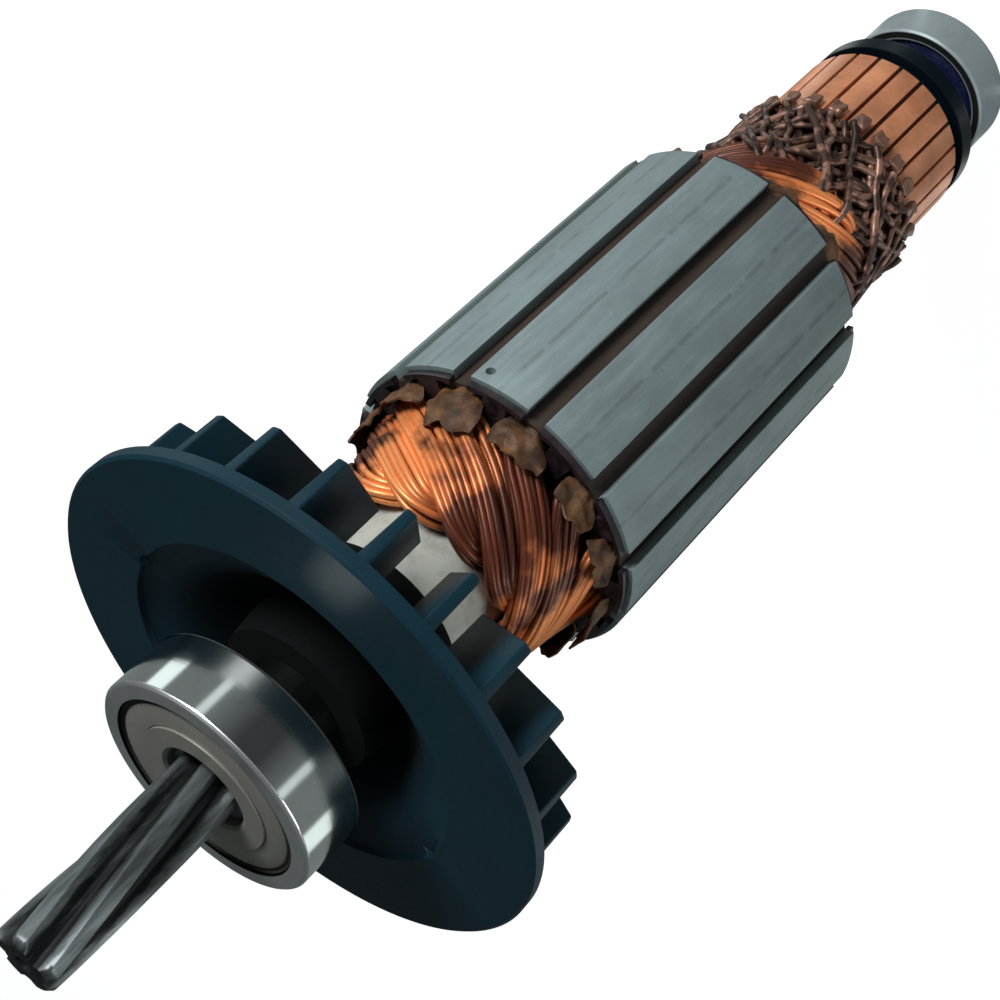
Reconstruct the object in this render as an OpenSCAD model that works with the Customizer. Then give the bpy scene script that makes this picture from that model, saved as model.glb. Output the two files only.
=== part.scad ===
// Armature of a hand-held power tool motor: a shaft with a helical pinion cut in
// its end, two ball bearings, a radial fan, a slotted lamination stack with twelve
// coils, and a hook commutator with twenty-four bars.
// Origin: centre of the rear bearing's rear face. +Z runs along the shaft to the pinion.

/* [Shaft] */
// Diameter of the shaft through the fan, the core and the commutator
shaft_d = 10; // [9.4:0.1:10.4]
// Length of the pinion, from the bearing's face to the tip
pinion_length = 21; // [14:1:28]
// Diameter over the pinion's teeth
pinion_d = 6.9; // [6:0.1:8]
// Depth of the pinion's teeth
tooth_depth = 1.25; // [0.6:0.05:1.4]
// Number of pinion teeth
pinion_teeth = 5; // [4:1:7]
// Turn of the teeth over each millimetre of length, left-handed
pinion_twist = 3; // [0:0.5:5]
// Length of the plain journal left in front of the front bearing's shoulder
spindle_gap = 4; // [3:0.5:8]

/* [Front bearing] */
// Bore of the front bearing
front_bore = 9; // [8.5:0.1:9.3]
// Outer diameter of the front bearing
front_od = 24; // [23:0.5:26]
// Width of the front bearing
front_width = 7; // [7:0.5:9]
// Diameter of the front bearing's balls
front_ball = 4; // [3:0.1:4.2]
// Number of balls in the front bearing
front_balls = 7; // [6:1:8]

/* [Rear bearing] */
// Bore of the rear bearing
rear_bore = 7; // [6:0.1:7.6]
// Outer diameter of the rear bearing
rear_od = 19; // [18.4:0.2:21]
// Width of the rear bearing
rear_width = 6; // [6:0.5:8]
// Diameter of the rear bearing's balls
rear_ball = 3.5; // [2.6:0.1:3.6]
// Number of balls in the rear bearing
rear_balls = 7; // [6:1:7]

/* [Fan] */
// Diameter of the fan's disc
fan_d = 55.4; // [50:0.2:60]
// Thickness of the fan's disc at its rim
fan_plate = 1.5; // [1.2:0.1:2.2]
// Diameter of the dished middle of the disc
dish_d = 36.8; // [32:0.2:40]
// Depth of the dish at the hub
dish_depth = 6; // [3:0.2:7]
// Number of blades
blade_count = 22; // [12:1:26]
// Thickness of a blade
blade_t = 1.2; // [0.8:0.1:1.6]
// Height of a blade at its outer end, from the disc's front
blade_h = 8.7; // [5:0.1:10]
// Diameter over the blades' outer ends
blade_od = 52; // [46:0.5:53]
// Diameter inside the blades
blade_id = 32.6; // [28:0.2:36]
// Diameter of the fan's hub
hub_d = 17.6; // [15:0.2:18]
// Length of the fan's hub behind the disc's front
hub_length = 13.3; // [13:0.1:16]

/* [Core] */
// Diameter of the lamination core
core_d = 33.8; // [32.6:0.1:36]
// Length of the lamination core
core_length = 41.9; // [30:0.1:60]
// Width of the slot mouths
mouth_w = 2.1; // [1.6:0.1:2.4]
// Width of the teeth between the slots
tooth_w = 2.6; // [2.4:0.1:2.8]
// Thickness of the fibre insulators on the core's ends
end_fibre = 0.8; // [0.5:0.1:1.2]
// Thickness of the slot paper
paper_t = 0.25; // [0.15:0.05:0.3]
// Thickness of the slot wedges
wedge_t = 0.75; // [0.5:0.05:0.8]

/* [Winding] */
// Thickness of a coil's bundle of wires in the winding heads
bundle_d = 2.1; // [1.6:0.1:2.2]
// Diameter of the insulating sleeves on the shaft
sleeve_d = 16.4; // [14:0.2:16.6]
// Length of the front sleeve that shows between the winding and the fan
sleeve_show = 5.2; // [2:0.2:10]
// Diameter of a lead wire
lead_d = 0.9; // [0.5:0.1:1.1]
// Length of the band of crossed leads behind the commutator
lead_band = 8; // [6:0.5:10]

/* [Commutator] */
// Diameter of the brush track
track_d = 22.2; // [20.4:0.2:22.8]
// Length of the bars
bar_length = 13.8; // [10:0.1:20]
// Width of the mica between two bars
mica_w = 0.5; // [0.3:0.1:0.8]
// Depth that the mica is cut back below the track
undercut = 0.5; // [0.2:0.1:0.8]
// Length of the dust collar's neck
neck_length = 5.2; // [3:0.1:9]
// Diameter of the dust collar's ring
collar_d = 22; // [18:0.2:23]

/* [Hidden] */
$fn = 72;
gap = 0.03;                 // ball clearance in the races
seat = 0.2;                 // how far the shaft's rear end stays inside the bearing
clear = 0.1;                // clearance of the paper, wedges and coils in the slots
corner = 0.3;               // bearing chamfer
slot_count = 12;            // slots, and coils
bar_count = 24;             // commutator bars, two for every slot
slot_pitch = 360 / slot_count;
slot_phase = 10.5;          // direction of the first slot
bar_pitch = 360 / bar_count;
bar_phase = slot_phase - bar_pitch / 2; // puts a bar in line with every slot
blade_phase = 1.2;          // direction of the first blade

// Stations along the shaft, from the rear bearing to the pinion
collar_z = rear_width;
ring_z = collar_z + neck_length;
ring_t = 2.5;
groove_t = 1.8;
bar_z = ring_z + ring_t + groove_t;
bar_end = bar_z + bar_length;
head_reach = 11.9;          // height of a winding head over the core's end
core_z = bar_end + lead_band + head_reach + end_fibre;
core_end = core_z + core_length;
fan_back = core_end + head_reach + sleeve_show;
fan_z = fan_back + hub_length;
front_z = fan_z + spindle_gap;
pinion_z = front_z + front_width;
tip_z = pinion_z + pinion_length;

// Slot section, from the shaft outwards
shaft_r = shaft_d / 2;
core_r = core_d / 2;
lip_r = core_r - 1.2;       // underside of the tooth tips
wedge_r = lip_r - wedge_t - clear / 2;
paper_r = wedge_r - paper_t - clear / 2;
slot_floor = 9.2;
layer_gap = 0.3;
layer_h = (paper_r - slot_floor - 2 * paper_t - layer_gap) / 2;
low_r = slot_floor + paper_t + clear + layer_h / 2;
high_r = paper_r - clear - layer_h / 2;

COILS = [for (i = [0:slot_count - 1]) str("coil_", i + 1)];
BARS = [for (i = [0:bar_count - 1]) str("commutator_bar_", i + 1)];

// ---------- helpers ----------

module ring(inner, outer, z, h) {
    translate([0, 0, z]) difference() {
        cylinder(r = outer, h = h);
        translate([0, 0, -1]) cylinder(r = inner, h = h + 2);
    }
}

// Copies of the children round the shaft
module around(count, phase = 0) {
    for (i = [0:count - 1]) rotate(phase + i * 360 / count) children();
}

function polar(r, a, z) = [r * cos(a), r * sin(a), z];
function unit(v) = v / norm(v);

// ---------- shaft with its pinion ----------

// Radius of the pinion's section at angle a: rounded lands with round-bottomed flutes
function pinion_r(a) =
    let (wave = 0.55 + 0.75 * cos(a * pinion_teeth))
    pinion_d / 2 - tooth_depth * (1 - max(0, min(1, wave)));

module pinion() {
    steps = pinion_teeth * 8;
    points = [for (i = [0:steps - 1]) let (a = i * 360 / steps)
        [pinion_r(a) * cos(a), pinion_r(a) * sin(a)]];
    linear_extrude(height = pinion_length, twist = pinion_twist * pinion_length,
                   slices = 15)
        polygon(points);
}

module shaft() {
    tip_chamfer = 0.5;
    centre_r = 0.9;
    recess = 1;             // the journal ends a little inside the bearing's bore
    color([0.42, 0.43, 0.44]) difference() {
        union() {
            translate([0, 0, pinion_z]) intersection() {
                pinion();
                union() {
                    cylinder(r = pinion_d, h = pinion_length - tip_chamfer);
                    translate([0, 0, pinion_length - tip_chamfer])
                        cylinder(r1 = pinion_d / 2 + 0.01, r2 = pinion_d / 2 - tip_chamfer,
                                 h = tip_chamfer, $fn = 48);
                }
            }
            translate([0, 0, pinion_z - recess])
                cylinder(r = pinion_d / 2 - tooth_depth, h = recess + 0.5);
            translate([0, 0, front_z])
                cylinder(d = front_bore, h = front_width - recess);
            translate([0, 0, collar_z])
                cylinder(d = shaft_d, h = front_z - collar_z);
            translate([0, 0, seat]) cylinder(d = rear_bore, h = collar_z);
        }
        translate([0, 0, tip_z - 2]) cylinder(r = centre_r, h = 3);
        translate([0, 0, -1]) cylinder(r = centre_r, h = 3);
    }
}

// ---------- ball bearings ----------

// Sizes that a bearing's pieces share: [bore, outer diameter, width, ball diameter,
// ball count, station]
FRONT = [front_bore, front_od, front_width, front_ball, front_balls, front_z];
REAR = [rear_bore, rear_od, rear_width, rear_ball, rear_balls, 0];

function pitch_r(b) = (b[0] + b[1]) / 4;
function inner_rim(b) = pitch_r(b) - b[3] * 0.3;
function outer_rim(b) = pitch_r(b) + b[3] * 0.34;
shield_t = 0.35;
shield_sink = 0.2;

// Half section of a race with its ball groove, turned about the shaft
module race(b, r1, r2, chamfer_out) {
    w = b[2];
    translate([0, 0, b[5]]) rotate_extrude() difference() {
        polygon(chamfer_out
            ? [[r1, 0], [r2 - corner, 0], [r2, corner], [r2, w - corner],
               [r2 - corner, w], [r1, w]]
            : [[r1 + corner, 0], [r2, 0], [r2, w], [r1 + corner, w],
               [r1, w - corner], [r1, corner]]);
        translate([pitch_r(b), w / 2]) circle(r = b[3] / 2 + gap);
    }
}

module outer_race(b) {
    seat_r = outer_rim(b) + 0.5;
    difference() {
        race(b, outer_rim(b), b[1] / 2, true);
        for (z = [-1, b[2] - shield_sink - shield_t])
            translate([0, 0, b[5] + z])
                cylinder(r = seat_r, h = 1 + shield_sink + shield_t);
    }
}

module inner_race(b) race(b, b[0] / 2, inner_rim(b), false);

module balls(b) {
    translate([0, 0, b[5] + b[2] / 2])
        around(b[4]) translate([pitch_r(b), 0, 0]) sphere(d = b[3]);
}

// Cage: a band with a round window for each ball
module cage(b) {
    half = b[3] * 0.2;
    high = b[3] / 2 + 0.35;
    translate([0, 0, b[5] + b[2] / 2]) difference() {
        ring(pitch_r(b) - half, pitch_r(b) + half, -high, 2 * high);
        around(b[4]) rotate([0, 90, 0]) cylinder(d = b[3] + 2 * gap, h = pitch_r(b) + b[3]);
    }
}

// Shield or seal plate, held in the outer race and clear of the inner one
module shield(b, front) {
    low = shield_sink;
    high = b[2] - shield_sink - shield_t;
    ring(inner_rim(b) + 0.15, outer_rim(b) + 0.5, b[5] + (front ? high : low), shield_t);
}

STEEL = [0.55, 0.56, 0.57];
module front_bearing_outer_race() color(STEEL) outer_race(FRONT);
module front_bearing_inner_race() color(STEEL) inner_race(FRONT);
module front_bearing_balls() color([0.75, 0.76, 0.78]) balls(FRONT);
module front_bearing_cage() color([0.6, 0.55, 0.4]) cage(FRONT);
module front_bearing_front_shield() color([0.45, 0.45, 0.42]) shield(FRONT, true);
module front_bearing_back_shield() color([0.45, 0.45, 0.42]) shield(FRONT, false);
module rear_bearing_outer_race() color([0.5, 0.56, 0.6]) outer_race(REAR);
module rear_bearing_inner_race() color(STEEL) inner_race(REAR);
module rear_bearing_balls() color([0.75, 0.76, 0.78]) balls(REAR);
module rear_bearing_cage() color([0.6, 0.55, 0.4]) cage(REAR);
module rear_bearing_front_seal() color([0.05, 0.08, 0.2]) shield(REAR, true);
module rear_bearing_back_seal() color([0.05, 0.08, 0.2]) shield(REAR, false);

// ---------- fan ----------

// Heights in the fan are measured back from the front of its disc
module fan_section() {
    dish_r = dish_d / 2;
    hub_r = hub_d / 2;
    rim_r = fan_d / 2;
    step = 0.6;
    wall = fan_plate + 0.3;
    hub_front = 1;
    floor_r = hub_r + 2.2;
    mirror([0, 1]) polygon([
        [rim_r - 0.3, 0], [dish_r, 0], [dish_r - 0.2, step],
        [dish_r - 4.4, dish_depth * 0.42], [floor_r, dish_depth * 0.9],
        [hub_r, dish_depth], [hub_r - 0.6, hub_front], [shaft_r, hub_front],
        [shaft_r, hub_length], [hub_r, hub_length], [hub_r, dish_depth + wall + 0.6],
        [floor_r + 0.5, dish_depth * 0.9 + wall], [dish_r - 3.9, dish_depth * 0.42 + wall],
        [dish_r + 0.3, fan_plate + 0.2], [rim_r, fan_plate], [rim_r, 0.3]]);
}

// One blade's outline, with its free edge sloping towards the hub
module blade_outline() {
    slope = 0.42;
    inner = blade_id / 2;
    outer = blade_od / 2;
    mirror([0, 1]) polygon([
        [inner, 1 + dish_depth * 0.25], [dish_d / 2 + 0.2, fan_plate - 0.2],
        [outer, fan_plate - 0.4], [outer, blade_h],
        [inner, blade_h + slope * (outer - inner)]]);
}

module cooling_fan() {
    lobe_r = 1.7;
    lobe_depth = 0.8;
    color([0.07, 0.14, 0.17]) translate([0, 0, fan_z]) difference() {
        union() {
            rotate_extrude() fan_section();
            around(blade_count, blade_phase)
                rotate([90, 0, 0])
                    linear_extrude(height = blade_t, center = true) blade_outline();
        }
        around(2) translate([dish_d / 2 - 1.1, 0, -lobe_depth])
            cylinder(r = lobe_r, h = 2);
    }
}

// ---------- sleeves and core ----------

module front_sleeve() {
    color([0.86, 0.87, 0.86])
        ring(shaft_r, sleeve_d / 2, core_end + end_fibre, fan_back - core_end - end_fibre);
}

module rear_sleeve() {
    cap_end = bar_end + hub_cap;
    color([0.86, 0.87, 0.86])
        ring(shaft_r, sleeve_d / 2 - 0.4, cap_end, core_z - end_fibre - cap_end);
}

// Half the slot's width at radius r, between teeth with parallel sides
function slot_half(r) = r * tan(slot_pitch / 2) - tooth_w / 2 / cos(slot_pitch / 2);

// Slot outline lying along +X, drawn in by d from the walls
module slot_outline(d = 0) {
    floor_r = slot_half(slot_floor + 1) - d;
    polygon([
        [slot_floor + 0.9, -floor_r], [lip_r - d, -slot_half(lip_r) + d],
        [lip_r - d, slot_half(lip_r) - d], [slot_floor + 0.9, floor_r]]);
    translate([slot_floor + 1, 0]) circle(r = floor_r);
}

module slots(z, h) {
    translate([0, 0, z]) around(slot_count, slot_phase) linear_extrude(height = h) {
        slot_outline();
        translate([lip_r - 0.1, -mouth_w / 2]) square([3, mouth_w]);
    }
}

module lamination_core() {
    dot_r = 0.55;
    dot_angle = slot_phase - 2.25 * slot_pitch;
    color([0.5, 0.57, 0.6]) difference() {
        translate([0, 0, core_z]) cylinder(r = core_r, h = core_length);
        translate([0, 0, core_z - 1]) cylinder(r = shaft_r, h = core_length + 2);
        slots(core_z - 1, core_length + 2);
        rotate(dot_angle) translate([core_r - 0.6, 0, core_end - 1.6])
            rotate([0, 90, 0]) cylinder(r = dot_r, h = 2);
    }
}

module end_insulator(z) {
    difference() {
        ring(shaft_r, core_r - 0.5, z, end_fibre);
        slots(z - 1, end_fibre + 2);
    }
}

module front_end_insulator() color([0.09, 0.08, 0.08]) end_insulator(core_end);
module rear_end_insulator() color([0.09, 0.08, 0.08]) end_insulator(core_z - end_fibre);

// Paper that lines each slot, closed under the wedge by a strip that ends in flaps
module slot_papers() {
    cuff = end_fibre - 0.2;
    flap = 4.6;
    strip_w = 2 * slot_half(paper_r) - 2 * clear;
    color([0.45, 0.33, 0.2]) around(slot_count, slot_phase) {
        translate([0, 0, core_z - cuff]) linear_extrude(height = core_length + 2 * cuff)
            difference() {
                slot_outline(clear / 2);
                slot_outline(clear / 2 + paper_t);
                translate([paper_r, -5]) square(10);
            }
        translate([paper_r, -strip_w / 2, core_z - flap])
            cube([paper_t, strip_w, core_length + 2 * flap]);
    }
}

module slot_wedges() {
    wedge_w = 2 * slot_half(wedge_r) - 4 * clear;
    over = 0.2;
    color([0.2, 0.16, 0.13]) around(slot_count, slot_phase)
        translate([wedge_r, -wedge_w / 2, core_z - over])
            cube([wedge_t, wedge_w, core_length + 2 * over]);
}

// ---------- coils ----------

// A coil leaves the high layer of its slot, climbs over the outside of the head and
// folds at the top. It goes down against the sleeve, under the coils that climb there,
// into the low layer five slots on.
// Each key is [radius, turn in degrees, height over the core's end].
coil_span = 5;
end_turn = coil_span * slot_pitch;
wrap_r = sleeve_d / 2 + bundle_d / 2 + 0.2;     // a bundle against the sleeve
climb_r = wrap_r + bundle_d + 0.2;              // a bundle over those
first_h = end_fibre + bundle_d / 2 - 0.1;
top_h = head_reach - bundle_d / 2 - 0.05;
function rise(turn) = first_h + 0.9 + (top_h - first_h - 2) * (turn - 9) / 50;
function fall(turn) = top_h - 0.9 - (top_h - first_h - 1.2) * (turn - 87) / 57;
KEYS = [
    [high_r, 0, -core_length / 2],
    [high_r, 0, -0.6],
    [high_r, 0, first_h * 0.7],
    [climb_r + 1.2, 9, rise(9)],
    [climb_r + 0.6, 32, rise(32)],
    [climb_r, 58, rise(58)],
    [wrap_r + 1.25, 73, top_h],
    [wrap_r + 0.05, 87, fall(87)],
    [wrap_r, 108, fall(108)],
    [wrap_r + 0.1, 131, fall(131)],
    [low_r - 0.25, end_turn - 5, first_h + 0.4],
    [low_r, end_turn, first_h * 0.7],
    [low_r, end_turn, -0.6],
    [low_r, end_turn, -core_length / 2]];
sides = 8;

// Point at t in [0, 1] between the middle two of four keys
function blend4(a, b, c, d, t) =
    0.5 * (2 * b + (c - a) * t + (2 * a - 5 * b + 4 * c - d) * t * t
    + (3 * b - a - 3 * c + d) * t * t * t);

// The keys with one smooth point between those outside the slots
function smooth_path(keys) = [
    for (i = [0:len(keys) - 2])
        let (last = len(keys) - 1, straight = i < 2 || i > last - 3)
        for (t = straight ? [0] : [0, 0.5])
            t == 0 ? keys[i]
                : blend4(keys[i - 1], keys[i], keys[i + 1], keys[min(i + 2, last)], t)];

// How much of its slot shape a bundle has at height h: 1 inside, 0 in the head
function in_slot(h) = max(0, min(1, 0.75 - 0.5 * h));
function half_width(r, h) =
    let (fit = slot_half(r) - paper_t - 4 * clear)
    in_slot(h) * fit + (1 - in_slot(h)) * bundle_d / 2;
function half_depth(h) =
    in_slot(h) * (layer_h / 2 - clear) + (1 - in_slot(h)) * bundle_d / 2;

// Sections [centre, half width, half depth] of a whole coil, front head first
function coil_sections() =
    let (path = smooth_path(KEYS))
    concat(
        [for (p = path) [polar(p[0], -p[1], core_end + p[2]), half_width(p[0], p[2]),
                         half_depth(p[2])]],
        [for (i = [len(path) - 1:-1:1]) let (p = path[i])
            [polar(p[0], -p[1], core_z - p[2]), half_width(p[0], p[2]), half_depth(p[2])]]);

// Closed tube through the sections, its width square to the shaft's radius
module closed_tube(sections) {
    n = len(sections);
    points = [for (i = [0:n - 1])
        let (c = sections[i][0],
             along = unit(sections[(i + 1) % n][0] - sections[(i + n - 1) % n][0]),
             out = [c[0], c[1], 0] / norm([c[0], c[1]]),
             up = unit(out - (out * along) * along),
             side = cross(along, up))
        for (k = [0:sides - 1]) let (a = (k + 0.5) * 360 / sides)
            c + 1.06 * (side * sections[i][1] * cos(a) + up * sections[i][2] * sin(a))];
    faces = [for (i = [0:n - 1]) let (j = (i + 1) % n) for (k = [0:sides - 1])
        let (m = (k + 1) % sides)
        [i * sides + k, i * sides + m, j * sides + m, j * sides + k]];
    polyhedron(points, faces);
}

module coil(i) {
    color([0.72, 0.4, 0.22])
        rotate(slot_phase - i * slot_pitch) closed_tube(coil_sections());
}

// ---------- leads between the winding and the commutator ----------

// Straight-sided tube from one point to another over a bowed line
module lead(r1, a1, z1, r2, a2, z2) {
    rings = 5;
    facets = 6;
    path = [for (i = [0:rings - 1]) let (t = i / (rings - 1))
        polar(r1 + (r2 - r1) * t, a1 + (a2 - a1) * t, z1 + (z2 - z1) * t)];
    points = [for (i = [0:rings - 1])
        let (along = unit(path[min(i + 1, rings - 1)] - path[max(i - 1, 0)]),
             out = unit([path[i][0], path[i][1], 0]),
             up = unit(out - (out * along) * along),
             side = cross(along, up))
        for (k = [0:facets - 1]) let (a = k * 360 / facets)
            path[i] + lead_d / 2 * (side * cos(a) + up * sin(a))];
    faces = concat(
        [[for (k = [facets - 1:-1:0]) k]],
        [for (i = [0:rings - 2]) for (k = [0:facets - 1]) let (m = (k + 1) % facets)
            [i * facets + k, i * facets + m, (i + 1) * facets + m, (i + 1) * facets + k]],
        [[for (k = [0:facets - 1]) (rings - 1) * facets + k]]);
    polyhedron(points, faces);
}

// Two crossing layers, one lead of each to every bar
module coil_leads() {
    lean = 2 * bar_pitch;
    inner_r = 11;
    outer_r = inner_r + lead_d + 0.1;
    start_z = bar_end + lead_band;
    end_z = bar_end + 0.6;
    color([0.35, 0.27, 0.23]) around(bar_count, slot_phase) {
        lead(inner_r - 0.2, 0, start_z, inner_r, lean, end_z);
        lead(outer_r - 0.1, 0, start_z, outer_r + 0.1, -lean, end_z);
    }
}

// ---------- commutator ----------

track_r = track_d / 2;
anchor_r = 7.6;             // inside of the bars
anchor_top = 9.6;           // outer edge of the notches that hold them
notch = 1;
hub_cap = 1.5;

// Sector of one bar between two strips of mica
module bar_sector(h) {
    spread = bar_pitch / 2;
    reach = 16;
    offset_x = mica_w / 2 / sin(spread);
    linear_extrude(height = h)
        polygon([[offset_x, 0],
                 [offset_x + reach * cos(spread), reach * sin(spread)],
                 [offset_x + reach * cos(spread), -reach * sin(spread)]]);
}

module commutator_bar(i) {
    hook_w = 1.5;
    hook_t = 0.8;
    hook_rise = 1.2;
    hook_back = 2.2;
    color([0.73, 0.48, 0.36]) rotate(bar_phase + (i + 0.5) * bar_pitch) {
        intersection() {
            translate([0, 0, bar_z]) rotate_extrude() polygon([
                [track_r - 0.2, 0], [track_r, 0.2], [track_r, bar_length],
                [anchor_top, bar_length], [anchor_top - notch, bar_length - notch],
                [anchor_r, bar_length], [anchor_r, 0],
                [anchor_top - notch, notch], [anchor_top, 0]]);
            translate([0, 0, bar_z - 1]) bar_sector(bar_length + 2);
        }
        translate([track_r - 0.3, -hook_w / 2, bar_end - hook_t])
            cube([hook_rise + 0.3, hook_w, hook_t]);
        translate([track_r + hook_rise - hook_t, -hook_w / 2, bar_end - hook_back])
            cube([hook_t, hook_w, hook_back]);
    }
}

// Moulded hub with the rings that hold the bars and the mica between them
module commutator_hub() {
    back = bar_z - 1;
    front = bar_end + hub_cap;
    cap_r = anchor_top + 0.2;
    color([0.25, 0.13, 0.07]) {
        rotate_extrude() polygon([
            [shaft_r, back], [cap_r, back], [cap_r, bar_z], [anchor_top, bar_z],
            [anchor_top - notch, bar_z + notch], [anchor_r, bar_z], [anchor_r, bar_end],
            [anchor_top - notch, bar_end - notch], [anchor_top, bar_end],
            [cap_r, bar_end], [cap_r, front], [shaft_r, front]]);
        around(bar_count, bar_phase)
            translate([anchor_r - 0.3, -mica_w / 2, bar_z])
                cube([track_r - undercut - anchor_r + 0.3, mica_w, bar_length]);
    }
}

// Collar with a dust ring between the commutator and the rear bearing
module dust_collar() {
    neck_r = 6.9;
    groove_r = 9.6;
    color([0.06, 0.13, 0.16]) rotate_extrude() polygon([
        [shaft_r, collar_z + 0.3], [neck_r, collar_z + 0.3], [neck_r, ring_z - 0.8],
        [neck_r + 0.8, ring_z], [collar_d / 2 - 0.2, ring_z], [collar_d / 2, ring_z + 0.2],
        [collar_d / 2, ring_z + ring_t], [groove_r, ring_z + ring_t],
        [groove_r, bar_z - 1], [shaft_r, bar_z - 1]]);
}

// ---------- the nodes ----------

shaft();
front_bearing_outer_race();
front_bearing_inner_race();
front_bearing_balls();
front_bearing_cage();
front_bearing_front_shield();
front_bearing_back_shield();
rear_bearing_outer_race();
rear_bearing_inner_race();
rear_bearing_balls();
rear_bearing_cage();
rear_bearing_front_seal();
rear_bearing_back_seal();
cooling_fan();
front_sleeve();
rear_sleeve();
lamination_core();
front_end_insulator();
rear_end_insulator();
slot_papers();
slot_wedges();
for (i = [0:slot_count - 1]) coil(i);
coil_leads();
commutator_hub();
for (i = [0:bar_count - 1]) commutator_bar(i);
dust_collar();
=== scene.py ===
"""Finish of a motor armature: pinion shaft, bearings, fan, core, winding and commutator."""
import math
import random

import bpy
from bpy.props import FloatProperty, FloatVectorProperty, IntProperty, PointerProperty
from mathutils import Matrix, Vector, noise


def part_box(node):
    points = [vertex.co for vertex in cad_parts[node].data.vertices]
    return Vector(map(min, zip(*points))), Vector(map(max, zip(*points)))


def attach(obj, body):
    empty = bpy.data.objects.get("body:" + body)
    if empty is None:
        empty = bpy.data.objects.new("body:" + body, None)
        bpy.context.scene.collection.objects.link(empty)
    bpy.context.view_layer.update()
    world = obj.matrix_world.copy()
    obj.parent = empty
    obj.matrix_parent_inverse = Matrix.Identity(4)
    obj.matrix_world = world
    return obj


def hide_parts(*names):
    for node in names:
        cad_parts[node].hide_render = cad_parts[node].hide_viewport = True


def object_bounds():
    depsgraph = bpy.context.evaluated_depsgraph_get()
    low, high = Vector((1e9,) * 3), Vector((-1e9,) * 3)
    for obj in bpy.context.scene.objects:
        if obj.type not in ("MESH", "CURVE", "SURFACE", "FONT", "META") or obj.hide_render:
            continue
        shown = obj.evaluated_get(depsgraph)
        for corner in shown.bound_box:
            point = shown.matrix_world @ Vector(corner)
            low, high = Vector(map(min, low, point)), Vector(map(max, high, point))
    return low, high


bl_info = {
    "name": "Motor armature",
    "version": (1, 0, 0),
    "blender": (4, 5, 0),
    "location": "3D View > Sidebar > Armature",
    "description": "Models the finish of a wound motor armature with its bearings and fan",
    "category": "Object",
}

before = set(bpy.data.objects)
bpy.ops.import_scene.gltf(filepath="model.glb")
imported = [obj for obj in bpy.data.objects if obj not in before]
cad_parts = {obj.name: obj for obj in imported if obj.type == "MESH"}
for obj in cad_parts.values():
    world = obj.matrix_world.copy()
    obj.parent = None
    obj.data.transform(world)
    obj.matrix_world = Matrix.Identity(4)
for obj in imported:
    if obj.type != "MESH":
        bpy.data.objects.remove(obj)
CAD_BOX = [list(corner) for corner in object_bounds()]
# Vector noise follows the clock unless it is seeded
noise.seed_set(5)
MM = 0.001
SLOTS = 12
BARS = 24
SHAFT_R = 5 * MM
JOURNALS = {"front": 4.5 * MM, "rear": 3.5 * MM}
OUTER_BODIES = {"front": "front_outer_ring", "rear": "rear_outer_ring"}
COVERS = {"front": "shield", "rear": "seal"}
# Radii of the dark lines of painted shade on the bearings: the front shield's crimp and the rear
# ring's face
CRIMP_R = 0.0098
REAR_FACE_SHADE_R = 0.0088
# The winding's painted light and shade: how far its three dark stretches of painted shade are
# turned, in degrees, and the height at which they change places with the bright stretches of
# painted highlight
SHADE_LOBE_TURN = 30
CORE_MIDDLE = 0.07
SMOOTH_ANGLE = math.radians(38)
# Tint that marks a hook: the bars' own tints are from 0 to 1
HOOK_TINT = 2
# Bright panels round the part that its sides mirror: direction, half width, edge, level
PANELS = ((10, 10, 1.5, 0.8), (-42, 4, 1.5, 0.5), (-138, 4, 1.5, 0.5), (165, 11, 2, 0.7),
          (87, 150, 18, 0.12))


def srgb(red, green, blue):
    """Linear colour of an 8-bit sRGB colour."""
    def linear(level):
        level = level / 255
        return level / 12.92 if level <= 0.04045 else ((level + 0.055) / 1.055) ** 2.4
    return (linear(red), linear(green), linear(blue))


def colour(label, rgb):
    return FloatVectorProperty(name=label, description=f"Colour of the {label.lower()}",
                               subtype="COLOR", size=3, min=0, max=1, default=srgb(*rgb))


def length(label, text, size_mm):
    return FloatProperty(name=label, description=text, default=size_mm * MM,
                         subtype="DISTANCE", unit="LENGTH")


def angle(label, text, degrees):
    return FloatProperty(name=label, description=text, default=math.radians(degrees),
                         subtype="ANGLE", unit="ROTATION")


# ---------------------------------------------------------------- settings

class ArmatureSizes(bpy.types.PropertyGroup):
    """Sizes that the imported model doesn't give by its boxes"""
    tooth_depth: length("Tooth depth", "Depth of the pinion's teeth", 1.25)
    pinion_r: length("Pinion radius", "Radius over the pinion's teeth", 3.45)
    pinion_teeth: IntProperty(name="Pinion teeth", description="Number of pinion teeth",
                              default=5)
    pinion_twist: angle("Pinion twist", "Turn of the teeth over the pinion's length", -63)
    blade_count: IntProperty(name="Blades", description="Number of fan blades", default=22)
    blade_t: length("Blade thickness", "Thickness of a fan blade", 1.2)
    wire_d: length("Wire", "Diameter of the winding wire", 0.72)
    bundle_d: length("Bundle", "Thickness of a coil's bundle of wires", 2.1)
    lead_d: length("Lead", "Diameter of a lead wire", 0.8)
    track_r: length("Track radius", "Radius of the commutator's brush track", 11.1)
    slot_phase: angle("First slot", "Direction of the first slot", 10.5)
    blade_phase: angle("First blade", "Direction of the first blade", 1.2)


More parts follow.
